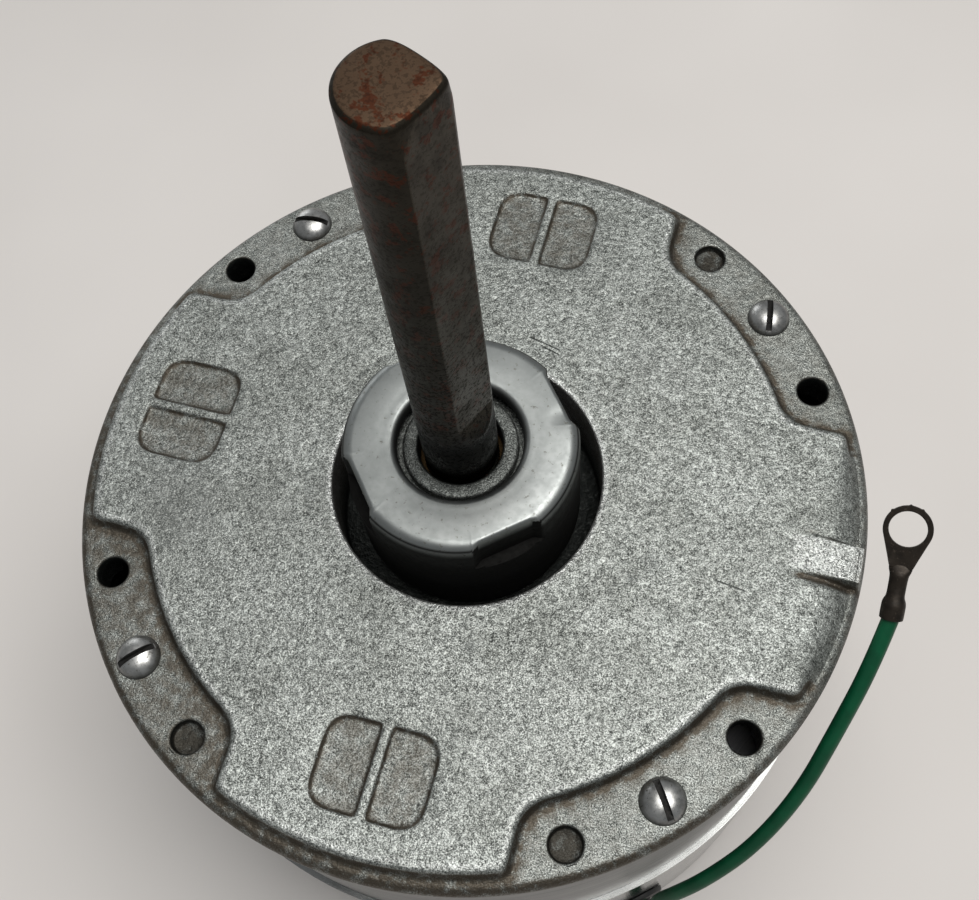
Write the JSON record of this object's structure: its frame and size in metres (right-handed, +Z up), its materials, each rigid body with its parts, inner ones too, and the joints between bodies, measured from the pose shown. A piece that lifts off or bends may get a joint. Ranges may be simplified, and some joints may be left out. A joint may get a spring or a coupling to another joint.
{
  "type": "combustion fan motor",
  "caption": "Round enclosed induction motor with a long double-flatted output shaft, plain mounting holes in its drive end shield and a green ground lead, for a combustion fan.",
  "frame": {"origin": "centre of the rear end shield's rim, on the shaft's axis, at the level the motor stands on", "axes": "+Z up the shaft towards its free end, +X from the axis to the locating rib on the drive end shield's face"},
  "size_m": [0.148, 0.141, 0.207],
  "materials": {
    "cast_aluminium": "shot-blasted die casting",
    "rear_casting": "turned bright",
    "bright_steel": "bright rolled",
    "stamped_steel": "smooth zinc-plated stamping",
    "shaft_steel": "ground, lightly rusted",
    "screw_steel": "dull plated",
    "bearing_bronze": "sintered",
    "felt": "oiled felt",
    "lamination_steel": "stacked sheet edges",
    "insulation": "polyester film",
    "enamelled_copper": "enamelled wire",
    "lacing_cord": "varnished cord",
    "protector_case": "moulded",
    "rotor_aluminium": "as cast",
    "washer_steel": "hardened",
    "grommet_rubber": "moulded black",
    "green_insulation": "extruded vinyl",
    "tinned_copper": "dull tinned, darkened"
  },
  "bodies": {
    "stator": {"drive_end_shield": "cast_aluminium", "rear_end_shield": "rear_casting", "shell": "bright_steel", "drive_bearing_cap": "stamped_steel", "rear_bearing_cap": "stamped_steel", "drive_bearing": "bearing_bronze", "rear_bearing": "bearing_bronze", "drive_oil_wick": "felt", "rear_oil_wick": "felt", "drive_wick_retainer": "washer_steel", "rear_wick_retainer": "washer_steel", "through_bolts": "screw_steel", "stator_core": "lamination_steel", "slot_liners": "insulation", "slot_wedges": "insulation", "main_winding": "enamelled_copper", "auxiliary_winding": "enamelled_copper", "winding_lacing": "lacing_cord", "thermal_protector": "protector_case", "lead_grommet": "grommet_rubber", "ground_lead_tail": "green_insulation", "ground_eyelet": "tinned_copper", "ground_screw": "screw_steel", "ground_lead": "green_insulation", "ring_terminal": "tinned_copper"},
    "rotor": {"shaft": "shaft_steel", "rotor_core": "lamination_steel", "rotor_cage": "rotor_aluminium", "drive_thrust_washer": "washer_steel", "rear_thrust_washer": "washer_steel", "drive_oil_slinger": "washer_steel", "rear_oil_slinger": "washer_steel", "retaining_rings": "washer_steel"}
  },
  "joints": [
    {"name": "rotor_spin", "type": "hinge", "parent": "stator", "child": "rotor", "pos_m": [0, 0, 0.1], "axis": [0, 0, 1], "continuous": true}
  ]
}
